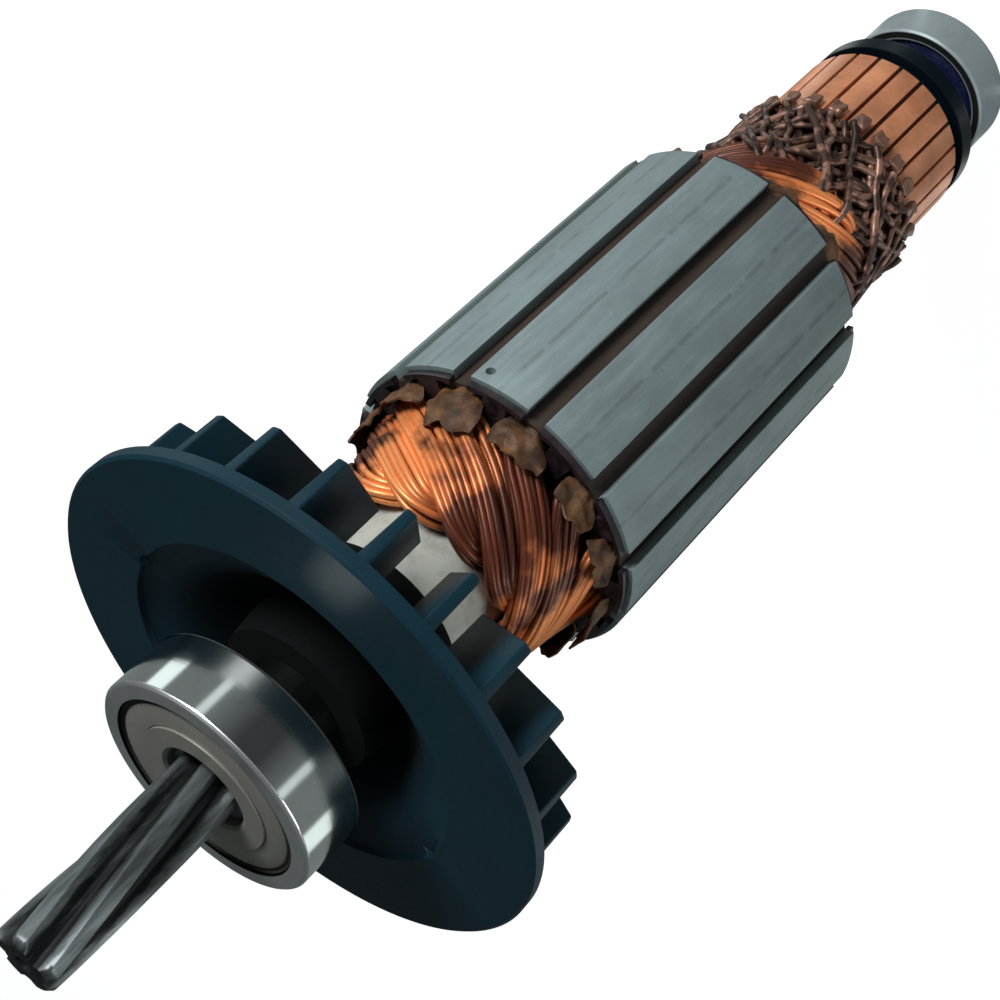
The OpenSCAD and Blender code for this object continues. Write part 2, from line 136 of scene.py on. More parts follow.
class ArmatureColours(bpy.types.PropertyGroup):
    """Colours of the finishes"""
    pinion: colour("Pinion steel", (98, 105, 107))
    race: colour("Bearing steel", (208, 214, 212))
    shield: colour("Shield steel", (150, 150, 142))
    rear_race: colour("Rear bearing steel", (150, 163, 166))
    seal: colour("Seal rubber", (4, 14, 56))
    fan: colour("Fan plastic", (9, 43, 55))
    core: colour("Lamination steel", (128, 144, 146))
    fibre: colour("End fibre", (24, 17, 22))
    paper: colour("Slot paper", (104, 72, 45))
    wedge: colour("Slot wedge", (58, 46, 38))
    copper: colour("Enamelled copper", (222, 128, 74))
    # The dark varnish colour is also the colour of the winding's painted shade
    varnish: colour("Dark varnish", (66, 24, 16))
    lead: colour("Varnished lead", (156, 116, 98))
    soot: colour("Charred varnish", (44, 28, 24))
    bar: colour("Commutator copper", (232, 156, 114))
    mica: colour("Hub resin", (78, 40, 18))
    sleeve: colour("Sleeve plastic", (184, 187, 178))
    collar: colour("Collar plastic", (3, 16, 24))


class StudioSettings(bpy.types.PropertyGroup):
    """Camera and lights"""
    lens: FloatProperty(name="Lens", description="Focal length in millimetres", default=65.8)
    distance: length("Distance", "From the camera to its aim", 189.2)
    aim_height: length("Aim height", "Height of the point that the camera looks at", 86.6)
    aim_depth: length("Aim depth", "How far behind the shaft the camera looks", 6.1)
    elevation: angle("Elevation", "Camera's angle over the floor", 32.52)
    roll: angle("Roll", "Camera's turn about its line of sight", -134.24)
    key_power: FloatProperty(name="Key", description="Power of the key light in watts",
                             default=3.85)
    fill_power: FloatProperty(name="Fill", description="Power of the fill light in watts",
                              default=1.15)
    sky: FloatProperty(name="Sky", description="Strength of the light from all round",
                       default=0.1)


# ---------------------------------------------------------------- places from the frame

def low(node):
    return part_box(node)[0][2]


def high(node):
    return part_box(node)[1][2]


def span(node):
    """The node's lowest and highest height."""
    return low(node), high(node)


def radius(node):
    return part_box(node)[1][0]


def polar(r, turn, z):
    """The point at a radius, a direction and a height."""
    return Vector((r * math.cos(turn), r * math.sin(turn), z))


# ---------------------------------------------------------------- shader expressions

class Value:
    """A shader socket on which arithmetic works, adding its Math nodes."""

    def __init__(self, shader, socket):
        self.shader = shader
        self.socket = socket

    def maths(self, operation, *others):
        return self.shader.node("ShaderNodeMath", {"operation": operation},
                                dict(enumerate((self,) + others)))

    def __add__(self, other):
        return self.maths("ADD", other)

    def __sub__(self, other):
        return self.maths("SUBTRACT", other)

    def __mul__(self, other):
        return self.maths("MULTIPLY", other)

    def __truediv__(self, other):
        return self.maths("DIVIDE", other)

    def __pow__(self, other):
        return self.maths("POWER", other)

    def __rsub__(self, other):
        return self * -1 + other

    def __abs__(self):
        return self.maths("ABSOLUTE")

    __radd__ = __add__
    __rmul__ = __mul__

    def below(self, limit, soft):
        """1 where the value is under the limit, 0 over it, with a soft edge."""
        return self.shader.node("ShaderNodeMapRange", {"clamp": True}, {
            "Value": self, "From Min": limit - soft, "From Max": limit + soft,
            "To Min": 1.0, "To Max": 0.0})

    def over(self, limit, soft):
        return 1 - self.below(limit, soft)


class Graph:
    """Nodes of one shader tree, added by expressions."""

    def __init__(self, tree):
        self.tree = tree

    def node(self, kind, settings=None, inputs=None, output=0):
        made = self.tree.nodes.new(kind)
        for setting, value in (settings or {}).items():
            setattr(made, setting, value)
        for key, value in (inputs or {}).items():
            self.feed(made.inputs[key], value)
        return Value(self, made.outputs[output]) if made.outputs else None

    def feed(self, socket, value):
        if isinstance(value, Value):
            self.tree.links.new(value.socket, socket)
        elif socket.type == "RGBA" and len(value) == 3:
            socket.default_value = (*value, 1)
        else:
            socket.default_value = value

    def split(self, point):
        """The X, Y and Z of a vector as separate values."""
        outputs = self.node("ShaderNodeSeparateXYZ", inputs={0: point}).socket.node.outputs
        return [Value(self, outputs[name]) for name in "XYZ"]

    def join(self, x, y, z):
        return self.node("ShaderNodeCombineXYZ", inputs={0: x, 1: y, 2: z})

    def mix(self, factor, first, second):
        return self.node("ShaderNodeMix", {"data_type": "RGBA", "clamp_factor": True},
                         {0: factor, 6: first, 7: second}, 2)


class Shader(Graph):
    """A material built from expressions that end in its Principled BSDF."""

    def __init__(self, name, base, roughness, metallic=0.0, **sockets):
        self.material = bpy.data.materials.new(name)
        self.material.use_nodes = True
        super().__init__(self.material.node_tree)
        self.surface = self.tree.nodes["Principled BSDF"]
        self.put("Base Color", base)
        self.put("Roughness", roughness)
        self.put("Metallic", metallic)
        for socket, value in sockets.items():
            self.put(socket.replace("_", " "), value)
        self.material.diffuse_color = (*base[:3], 1)

    def put(self, socket, value):
        self.feed(self.surface.inputs[socket], value)

    def place(self, stretch=(1, 1, 1)):
        """Object coordinates, stretched."""
        point = self.node("ShaderNodeTexCoord", output="Object")
        return self.node("ShaderNodeVectorMath", {"operation": "MULTIPLY"},
                         {0: point, 1: stretch})

    def around(self):
        """Angle about the shaft in turns, distance from it, and height."""
        x, y, z = self.split(self.node("ShaderNodeTexCoord", output="Object"))
        return y.maths("ARCTAN2", x) / math.tau, (x * x + y * y) ** 0.5, z

    def noise(self, size, detail=3.0, stretch=(1, 1, 1), roughness=0.55, at=None):
        """Cloudy noise with features of about this size in metres."""
        return self.node("ShaderNodeTexNoise", {}, {
            "Vector": at or self.place(stretch), "Scale": 1 / size, "Detail": detail,
            "Roughness": roughness})

    def attribute(self, name):
        return self.node("ShaderNodeAttribute", {"attribute_name": name}, output="Fac")

    def bump(self, height, depth, strength=1.0):
        self.put("Normal", self.node("ShaderNodeBump", {}, {
            "Strength": strength, "Distance": depth, "Height": height}))


def shade(rgb, factor):
    return tuple(min(1, level * factor) for level in rgb)


def toward(rgb, other, share):
    return tuple(a + (b - a) * share for a, b in zip(rgb, other))


# ---------------------------------------------------------------- finishes

def turned_steel(name, rgb, roughness=0.1, metallic=1.0, shade_line_r=0.0, ground_r=0.0):
    """Ground steel, satin inside one radius, with a black line of painted shade at another."""
    s = Shader(name, rgb, roughness, metallic)
    turn, r, z = s.around()
    marks = s.noise(0.00012, 2, at=s.join(turn * 0.002, r, z))
    smear = s.noise(0.004, 4)
    # Painted shade: a black line at this radius, standing for the shade of the front crimp and of
    # the rear ring's face
    groove = abs(r - shade_line_r).below(0.0004, 0.00006)
    body = s.mix(smear.over(0.6, 0.1) * 0.3, rgb, shade(rgb, 0.6))
    s.put("Base Color", s.mix(groove, body, shade(rgb, 0.01)))
    satin = r.below(ground_r, 0.000004) * 0.35 + groove * 0.4
    s.put("Roughness", roughness + marks * 0.05 + smear * 0.05 + satin - 0.04)
    s.bump(marks, 0.000004, 0.5)
    return s.material


def pinion_steel(c, face):
    """Hardened steel, painted dark in the flutes as their shade and in streaks along the shaft,
    and painted black below the bearing's face as the shade inside the bore.
    """
    s = Shader("pinion_steel", c.pinion, 0.34, 0.7)
    _, r, z = s.around()
    # Painted shade: the flutes between the teeth turn dark
    flute_shade = r.below(0.0029, 0.0004)
    streaks = s.noise(0.0006, 4, stretch=(1, 1, 0.12))
    flute_shade_and_streaks = flute_shade * 0.9 + streaks.over(0.52, 0.1) * 0.5
    flute_shade_and_streaks = s.mix(flute_shade_and_streaks, shade(c.pinion, 1.2), shade(c.pinion, 0.07))
    # Painted shade: black below the bearing's face, inside the bore
    s.put("Base Color", s.mix(z.below(face, 0.0005), flute_shade_and_streaks, shade(c.pinion, 0.04)))
    s.put("Roughness", 0.3 + streaks * 0.26 + flute_shade * 0.12)
    s.bump(streaks, 0.00004, 0.5)
    return s.material


def shield_steel(name, rgb):
    """Rolled sheet, dull and slightly cloudy, with a dark line of painted shade where it is
    crimped.
    """
    s = Shader(name, rgb, 0.5, 0.45)
    _, r, _ = s.around()
    grain = s.noise(0.0001, 2)
    cloud = s.noise(0.003, 3)
    # Painted shade: a near black line where the sheet is crimped
    crimp_shade = abs(r - CRIMP_R).below(0.00034, 0.00006)
    body = s.mix(cloud, shade(rgb, 0.85), shade(rgb, 1.1))
    s.put("Base Color", s.mix(crimp_shade * 0.92, body, shade(rgb, 0.03)))
    s.put("Roughness", 0.42 + grain * 0.2 + crimp_shade * 0.3)
    s.bump(grain - crimp_shade, 0.00002, 0.5)
    return s.material


def seal_rubber(c):
    """Moulded rubber with a little dust."""
    s = Shader("seal_rubber", c.seal, 0.5)
    dust = s.noise(0.0005, 4)
    s.put("Base Color", s.mix(dust.over(0.6, 0.1) * 0.25, c.seal, srgb(60, 72, 96)))
    s.put("Roughness", 0.42 + dust * 0.2)
    s.bump(dust, 0.00002, 0.5)
    return s.material


def moulded_plastic(name, rgb, roughness=0.46, shaded_r=0.0):
    """Glass-filled plastic with a fine leathery skin, painted black inside a radius as the shade
    in the fan's dish.
    """
    s = Shader(name, rgb, roughness, Specular_IOR_Level=0.22)
    _, r, _ = s.around()
    cloud = s.noise(0.009, 3)
    skin = s.noise(0.00035, 3)
    fleck = s.noise(0.00015, 2)
    body = s.mix(cloud, shade(rgb, 0.75), shade(rgb, 1.25))
    body = s.mix(fleck.over(0.68, 0.05) * 0.12, body, toward(rgb, (0.5, 0.6, 0.62), 0.2))
    # Painted shade: near black inside the radius, as the shade in the fan's dish
    dish_shade = r.below(shaded_r, 0.0025) if shaded_r else 0
    s.put("Base Color", s.mix(dish_shade, body, shade(rgb, 0.02)))
    s.put("Roughness", roughness - 0.06 + skin * 0.2 + dish_shade * 0.4)
    s.bump(skin, 0.00002, 0.35)
    return s.material


def lamination_steel(c, size):
    """Ground lamination stack: sheet lines across it, grinding streaks along it."""
    s = Shader("lamination_steel", c.core, 0.5, 0.35)
    turn, r, _ = s.around()
    sheets = s.node("ShaderNodeTexWave", {"wave_type": "BANDS", "bands_direction": "Z"},
                    {"Vector": s.place(), "Scale": 1 / 0.0005 / 2, "Distortion": 0.0})
    streak = s.noise(0.0007, 4, stretch=(1, 1, 0.08))
    blotch = s.noise(0.0032, 5, stretch=(1, 1, 0.6))
    cloud = s.noise(0.008, 4)
    pitch = 1 / SLOTS
    tooth = (turn - size.slot_phase / math.tau).maths("PINGPONG", pitch / 2)
    line = tooth.over(pitch / 2 - 0.0022, 0.0007)
    dashes = s.noise(0.0022, 2, stretch=(0.2, 0.2, 1)).over(0.46, 0.05)
    mark = line * dashes * r.over(0.0165, 0.0001)
    body = s.mix(cloud, shade(c.core, 0.72), shade(c.core, 1.15))
    body = s.mix(blotch.over(0.55, 0.1) * 0.35, body, shade(c.core, 0.62))
    body = s.mix(streak.over(0.6, 0.12) * 0.3, body, shade(c.core, 1.5))
    body = s.mix(sheets * 0.14, body, shade(c.core, 0.45))
    s.put("Base Color", s.mix(mark * 0.32, body, shade(c.core, 0.3)))
    s.put("Roughness", 0.42 + streak * 0.16 + blotch * 0.14)
    s.bump(sheets * 0.5 + streak * 0.5 - mark * 0.4, 0.00003, 0.5)
    return s.material


def end_fibre(c):
    """Fibre soaked in dark varnish, shiny where the varnish stands."""
    s = Shader("end_fibre", c.fibre, 0.35, Coat_Weight=0.3, Coat_Roughness=0.25)
    cloud = s.noise(0.0016, 4)
    s.put("Base Color", s.mix(cloud.over(0.52, 0.12), shade(c.fibre, 0.6), shade(c.fibre, 2.6)))
    s.put("Roughness", 0.28 + cloud * 0.35)
    s.bump(cloud, 0.0002, 0.6)
    return s.material


def slot_paper(c):
    """Varnish-soaked paper, browned unevenly."""
    s = Shader("slot_paper", c.paper, 0.55, Specular_IOR_Level=0.35)
    soak = s.noise(0.0024, 5)
    fibre = s.noise(0.00025, 3)
    body = s.mix(soak.over(0.47, 0.14), shade(c.paper, 1.3), shade(c.paper, 0.22))
    s.put("Base Color", s.mix(fibre * 0.3, body, shade(c.paper, 0.6)))
    s.put("Roughness", 0.45 + soak * 0.3)
    s.bump(soak * 0.7 + fibre * 0.3, 0.0003, 0.7)
    return s.material


def slot_wedge(c):
    """Pressed strip with a grain along the slot."""
    s = Shader("slot_wedge", c.wedge, 0.5)
    along = s.noise(0.0006, 4, stretch=(1, 1, 0.08))
    s.put("Base Color", s.mix(along, shade(c.wedge, 0.5), shade(c.wedge, 1.35)))
    s.put("Roughness", 0.4 + along * 0.25)
    s.bump(along, 0.00006, 0.6)
    return s.material


def copper_wire(name, rgb, dark, gloss=0.4, patch=0.006, painted_light_strength=0.17):
    """Enamelled copper: each strand has a tint of its own, under dark patches that are partly
    varnish and partly painted shade, with painted highlights between them.
    """
    s = Shader(name, rgb, gloss, 0.4, Coat_Weight=0.06, Coat_Roughness=0.25)
    turn, _, z = s.around()
    tint = s.attribute("tint")
    # Painted light and shade: a sine with three dark and three bright turns round the shaft,
    # flipped at the core's middle
    lobes = (turn * (3 * math.tau) + math.radians(SHADE_LOBE_TURN)).maths("SINE")
    lobes = lobes * (z.over(CORE_MIDDLE, 0.001) * 2 - 1)
    varnish = s.noise(patch, 4, roughness=0.5)
    # Dark patches: varnish noise, with painted shade from the sine added
    varnish_and_shade = (varnish + lobes * painted_light_strength).over(0.47, 0.06)
    body = s.mix(tint, shade(rgb, 0.45), shade(rgb, 1.15))
    # Painted highlight: bright copper where the sine is lowest
    body = s.mix(lobes.below(-0.5, 0.4) * painted_light_strength * 4, body, shade(rgb, 1.7))
    s.put("Base Color", s.mix(varnish_and_shade * 0.9, body, s.mix(tint, shade(dark, 0.6), shade(dark, 1.5))))
    s.put("Roughness", gloss + varnish * 0.24 - 0.08)
    s.bump(s.noise(0.0006, 3), 0.00003, 0.4)
    return s.material


def bar_copper(c):
    """Turned copper with fine lathe rings; the hooks are soaked in varnish."""
    s = Shader("bar_copper", c.bar, 0.36, 0.45)
    turn, _, z = s.around()
    rings = s.noise(0.00016, 2, at=s.join(turn * 0.002, 0.0, z))
    cloud = s.noise(0.004, 4)
    each = s.attribute("tint")
    body = s.mix(each, shade(c.bar, 0.8), shade(c.bar, 1.12))
    body = s.mix(cloud.over(0.5, 0.12) * 0.6, body, shade(c.bar, 0.5))
    body = s.mix(rings.over(0.6, 0.1) * 0.25, body, shade(c.bar, 0.6))
    soaked = s.mix(cloud, c.lead, shade(c.lead, 0.35))
    s.put("Base Color", s.mix(each.over(HOOK_TINT - 0.5, 0.2), body, soaked))
    s.put("Roughness", 0.3 + rings * 0.16)
    s.bump(rings, 0.000012, 0.5)
    return s.material


def hub_resin(c):
    """Brown moulding resin and mica."""
    s = Shader("hub_resin", c.mica, 0.5)
    cloud = s.noise(0.0012, 3)
    s.put("Base Color", s.mix(cloud, shade(c.mica, 0.5), shade(c.mica, 1.3)))
    s.bump(cloud, 0.00004, 0.5)
    return s.material


def sleeve_plastic(name, rgb):
    """Insulating sleeve, a little grimy."""
    s = Shader(name, rgb, 0.45, Specular_IOR_Level=0.4)
    cloud = s.noise(0.004, 3)
    grime = s.noise(0.0015, 4)
    body = s.mix(cloud, shade(rgb, 0.82), rgb)
    s.put("Base Color", s.mix(grime.over(0.62, 0.1) * 0.4, body, shade(rgb, 0.4)))
    s.bump(cloud, 0.00003, 0.3)
    return s.material


# ---------------------------------------------------------------- modelling helpers

def settings(context):
    """The sizes and the colours that the panel's steps build with."""
    return context.scene.armature_sizes, context.scene.armature_colours


def deselect():
    if bpy.context.object and bpy.context.object.mode != "OBJECT":
        bpy.ops.object.mode_set(mode="OBJECT")
    bpy.ops.object.select_all(action="DESELECT")


def pick(piece):
    """Makes this piece the only one selected, and the active one."""
    deselect()
    piece.select_set(True)
    bpy.context.view_layer.objects.active = piece


def edit_all():
    """Goes into edit mode with the whole mesh selected."""
    bpy.ops.object.mode_set(mode="EDIT")
    bpy.ops.mesh.select_all(action="SELECT")


def close_edit(sharp=SMOOTH_ANGLE):
    """Turns the normals outward, leaves edit mode and smooths all but the sharp edges."""
    bpy.ops.mesh.select_all(action="SELECT")
    bpy.ops.mesh.normals_make_consistent(inside=False)
    bpy.ops.object.mode_set(mode="OBJECT")
    bpy.ops.object.shade_smooth_by_angle(angle=sharp)


def named(name):
    piece = bpy.context.object
    piece.name = name
    piece.data.name = name
    return piece


def settle(piece):
    """Puts the object's place, turn and scale into its mesh."""
    pick(piece)
    bpy.ops.object.transform_apply(location=True, rotation=True, scale=True)
    return piece


def block(name, place, size):
    """Box of this size about a place."""
    deselect()
    bpy.ops.mesh.primitive_cube_add(size=1, location=place)
    piece = named(name)
    piece.scale = size
    return settle(piece)


def rod(name, reach, depth, place, vertices, turn=(0, 0, 0)):
    """Cylinder of this radius and depth about a place."""
    deselect()
    bpy.ops.mesh.primitive_cylinder_add(vertices=vertices, radius=reach, depth=depth,
                                        location=place, rotation=turn)
    return settle(named(name))


def modify(piece, kind, **settings):
    """Adds a modifier and applies it."""
    pick(piece)
    made = piece.modifiers.new(kind.lower(), kind)
    for setting, value in settings.items():
        setattr(made, setting, value)
    bpy.ops.object.modifier_apply(modifier=made.name)
    return piece


def combine(piece, other, operation="DIFFERENCE"):
    """Cuts the other piece out of this one, or adds it, and removes it."""
    modify(piece, "BOOLEAN", operation=operation, object=other, solver="EXACT")
    bpy.data.objects.remove(other)


def soften(piece, width, segments=2, sharp=30):
    """Bevels the sharp edges and smooths the rest."""
    modify(piece, "BEVEL", width=width, segments=segments, limit_method="ANGLE",
           angle_limit=math.radians(sharp), use_clamp_overlap=True)
    pick(piece)
    edit_all()
    bpy.ops.mesh.dissolve_degenerate(threshold=0.004 * MM)
    bpy.ops.object.mode_set(mode="OBJECT")
    bpy.ops.object.shade_smooth_by_angle(angle=SMOOTH_ANGLE)
    return piece


def lathe(name, profile, steps=96):
    """Turns a closed outline of (radius, height) points about the shaft's axis."""
    deselect()
    r, z = profile[0]
    bpy.ops.mesh.primitive_plane_add(size=MM, location=(r, 0, z))
    piece = named(name)
    settle(piece)
    edit_all()
    bpy.ops.mesh.select_mode(type="VERT")
    bpy.ops.mesh.merge(type="CENTER")
    for (r0, z0), (r1, z1) in zip(profile, profile[1:]):
        bpy.ops.mesh.extrude_region_move(
            TRANSFORM_OT_translate={"value": (r1 - r0, 0, z1 - z0)})
    bpy.ops.mesh.select_all(action="SELECT")
    bpy.ops.mesh.edge_face_add()
    bpy.ops.mesh.delete(type="ONLY_FACE")
    bpy.ops.mesh.select_all(action="SELECT")
    bpy.ops.mesh.spin(steps=steps, angle=math.tau, center=(0, 0, 0), axis=(0, 0, 1))
    bpy.ops.mesh.select_all(action="SELECT")
    bpy.ops.mesh.remove_doubles(threshold=0.002 * MM)
    close_edit()
    return piece


def copies(piece, count, phase=0.0):
    """The piece and its copies turned about the shaft, each with its own mesh."""
    made = [piece]
    for i in range(1, count):
        twin = piece.copy()
        twin.data = piece.data.copy()
        bpy.context.collection.objects.link(twin)
        made.append(twin)
    for i, twin in enumerate(made):
        twin.data.transform(Matrix.Rotation(phase + i * math.tau / count, 4, "Z"))
    return made


def fuse(name, parts):
    """Joins the objects into one piece."""
    deselect()
    for part in parts:
        part.select_set(True)
    bpy.context.view_layer.objects.active = parts[0]
    bpy.ops.object.join()
    return named(name)


def dress(piece, material, body, slot, *nodes):
    """Gives a new piece its finish and body, and hides the CAD nodes that it stands for."""
    piece.data.materials.clear()
    piece.data.materials.append(material)
    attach(piece, body)
    if nodes:
        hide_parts(*nodes)
    return piece


def repaint(material, *nodes):
    """Gives carried-over CAD nodes a better finish."""
    for node in nodes:
        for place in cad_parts[node].material_slots:
            place.material = material


def strand(points, thickness, tint):
    """One wire along the points, as an eight-sided tube with a tint of its own."""
    curve = bpy.data.curves.new("strand", "CURVE")
    curve.dimensions = "3D"
    curve.bevel_depth = thickness / 2
    curve.bevel_resolution = 2
    curve.use_fill_caps = True
    line = curve.splines.new("POLY")
    line.points.add(len(points) - 1)
    for spot, point in zip(line.points, points):
        spot.co = (*point, 1)
    made = bpy.data.objects.new("strand", curve)
    bpy.context.collection.objects.link(made)
    pick(made)
    bpy.ops.object.convert(target="MESH")
    made = bpy.context.object
    stain(made, tint)
    bpy.ops.object.shade_smooth()
    return made


def stain(piece, tint):
    """Stores one tint for the whole piece, which its finish reads."""
    layer = piece.data.attributes.new("tint", "FLOAT", "POINT")
    layer.data.foreach_set("value", [tint] * len(piece.data.vertices))


# ---------------------------------------------------------------- shaft and bearings

class ARMATURE_OT_shaft(bpy.types.Operator):
    """Shaft with its helical pinion"""
    bl_idname = "armature.shaft"
    bl_label = "Pinion shaft"

    def execute(self, context):
        size, hues = settings(context)
        tip = high("shaft")
        face = high("front_bearing_outer_race")
        pinion = self.pinion(size, face - 0.9 * MM, tip)
        body = self.turned_part(size, face)
        piece = fuse("pinion_shaft", [pinion, body])
        dress(piece, pinion_steel(hues, face - 2 * MM), "rotor", "shaft_steel", "shaft")
        return {"FINISHED"}

    def pinion(self, size, start, tip):
        per_tooth = 20
        deselect()
        bpy.ops.mesh.primitive_circle_add(vertices=size.pinion_teeth * per_tooth,
                                          radius=size.pinion_r, location=(0, 0, start))
        piece = named("pinion")
        settle(piece)
        for spot in piece.data.vertices:
            x, y, z = spot.co
            wave = 0.55 + 0.75 * math.cos(math.atan2(y, x) * size.pinion_teeth)
            share = 1 - size.tooth_depth / size.pinion_r * (1 - max(0, min(1, wave)))
            spot.co = (x * share, y * share, z)
        rows = 90
        modify(piece, "SCREW", angle=size.pinion_twist, screw_offset=tip - start,
               steps=rows, render_steps=rows, use_merge_vertices=False,
               use_normal_calculate=False)
        chamfer = 0.5 * MM
        for spot in piece.data.vertices:
            x, y, z = spot.co
            over = z - (tip - chamfer)
            reach = math.hypot(x, y)
            limit = size.pinion_r - 0.05 * MM - max(0, over)
            if over > 0 and reach > limit:
                spot.co = (x * limit / reach, y * limit / reach, z)
        edit_all()
        bpy.ops.mesh.select_non_manifold()
        bpy.ops.mesh.edge_face_add()
        close_edit(math.radians(50))
        self.cap(piece, tip)
        return piece

    def cap(self, piece, tip):
        """Sinks a small centre hole into the pinion's end face."""
        deselect()
        bpy.ops.mesh.primitive_cone_add(vertices=32, radius1=0.1 * MM, radius2=0.95 * MM,
                                        depth=1.6 * MM, location=(0, 0, tip - 0.7 * MM))
        combine(piece, named("centre_drill"))

    def turned_part(self, size, face):
        journal, tail = JOURNALS["front"], JOURNALS["rear"]
        rear = high("rear_bearing_inner_race")
        shoulder = low("front_bearing_inner_race")
        return lathe("turned_shaft", [
            (0, 2.2 * MM), (0.9 * MM, 2.2 * MM), (0.9 * MM, 0.5 * MM), (1.2 * MM, 0.2 * MM),
            (tail - 0.3 * MM, 0.2 * MM), (tail, 0.5 * MM), (tail, rear),
            (SHAFT_R - 0.2 * MM, rear), (SHAFT_R, rear + 0.2 * MM),
            (SHAFT_R, shoulder - 0.2 * MM), (SHAFT_R - 0.2 * MM, shoulder),
            (journal, shoulder), (journal, face - 1.2 * MM), (journal - 0.2 * MM, face - MM),
            (size.pinion_r - size.tooth_depth, face - MM), (0, face - MM)])


class ARMATURE_OT_bearings(bpy.types.Operator):
    """Ball bearings with ground rings, shields and seals"""
    bl_idname = "armature.bearings"
    bl_label = "Bearings"

    def execute(self, context):
        _, hues = settings(context)
        rim = radius("front_bearing_outer_race")
        steel = turned_steel("bearing_steel", hues.race, shade_line_r=CRIMP_R,
                             ground_r=rim - 0.012 * MM)
        # The rear ring's face gets a black line of painted shade
        rear_steel = turned_steel("rear_race_steel", hues.rear_race, 0.5, 0.35, REAR_FACE_SHADE_R)
        balls = turned_steel("ball_steel", hues.race)
        plate = shield_steel("shield_steel", hues.shield)
        rubber = seal_rubber(hues)
        cage = moulded_plastic("cage_plastic", srgb(150, 138, 110))
        self.rings("front", steel, "bearing_steel", plate)
        self.rings("rear", rear_steel, "rear_race_steel", rear_steel)
        for side in ("front", "back"):
            self.cover("front", side, plate, "shield_steel")
            self.cover("rear", side, rubber, "seal_rubber")
        repaint(balls, "front_bearing_balls", "rear_bearing_balls")
        repaint(cage, "front_bearing_cage", "rear_bearing_cage")
        return {"FINISHED"}

    def rings(self, end, steel, slot, inner_finish):
        """Outer and inner race, each with its ball groove and polished chamfers."""
        outer = f"{end}_bearing_outer_race"
        inner = f"{end}_bearing_inner_race"
        z0, z1 = span(outer)
        mid = (z0 + z1) / 2
        rim = radius(outer)
        bore_face = radius(inner)
        balls = f"{end}_bearing_balls"
        ball = high(balls) - mid + 0.03 * MM
        pitch = radius(balls) - ball + 0.03 * MM
        seat = radius(f"{end}_bearing_front_{COVERS[end]}")
        wall = pitch + ball * 0.66
        step = 0.55 * MM
        corner = 0.3 * MM
        arc = [(pitch + ball * math.cos(a), mid + ball * math.sin(a))
               for a in (math.radians(d) for d in range(45, -46, -15))]
        ring = lathe(f"{end}_outer_ring", [
            (seat, z0), (rim - corner, z0), (rim, z0 + corner), (rim, z1 - corner),
            (rim - corner, z1), (seat, z1), (seat, z1 - step), (wall, z1 - step)]
            + arc + [(wall, z0 + step), (seat, z0 + step)], steps=160)
        soften(ring, 0.09 * MM)
        dress(ring, steel, OUTER_BODIES[end], slot, outer)
        bore = JOURNALS[end]
        arc = [(pitch - ball * math.cos(a), mid + ball * math.sin(a))
               for a in (math.radians(d) for d in range(-40, 41, 16))]
        ring = lathe(f"{end}_inner_ring", [
            (bore, z0 + corner), (bore + corner, z0), (bore_face, z0)] + arc + [
            (bore_face, z1), (bore + corner, z1), (bore, z1 - corner)])
        soften(ring, 0.06 * MM)
        dress(ring, inner_finish, "rotor", slot, inner)

    def cover(self, end, side, finish, slot):
        """Dished plate with a rolled rim and a small step round its middle."""
        kind = COVERS[end]
        node = f"{end}_bearing_{side}_{kind}"
        (_, _, z0), (rim, _, z1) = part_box(node)
        flip = 1 if side == "front" else -1
        face, back = (z1, z0) if side == "front" else (z0, z1)
        inside = radius(f"{end}_bearing_inner_race") + 0.04 * MM
        groove = 0.28 * MM
        plate = lathe(f"{end}_{side}_{kind}_plate", [
            (inside, back), (inside, face - flip * 0.02 * MM),
            (rim - groove - 0.5 * MM, face - flip * 0.02 * MM),
            (rim - groove - 0.2 * MM, face - flip * 0.18 * MM),
            (rim - groove, face - flip * 0.2 * MM),
            (rim - 0.1 * MM, face), (rim - 0.02 * MM, back)], steps=128)
        soften(plate, 0.03 * MM, 1)
        dress(plate, finish, OUTER_BODIES[end], slot, node)


# ---------------------------------------------------------------- fan

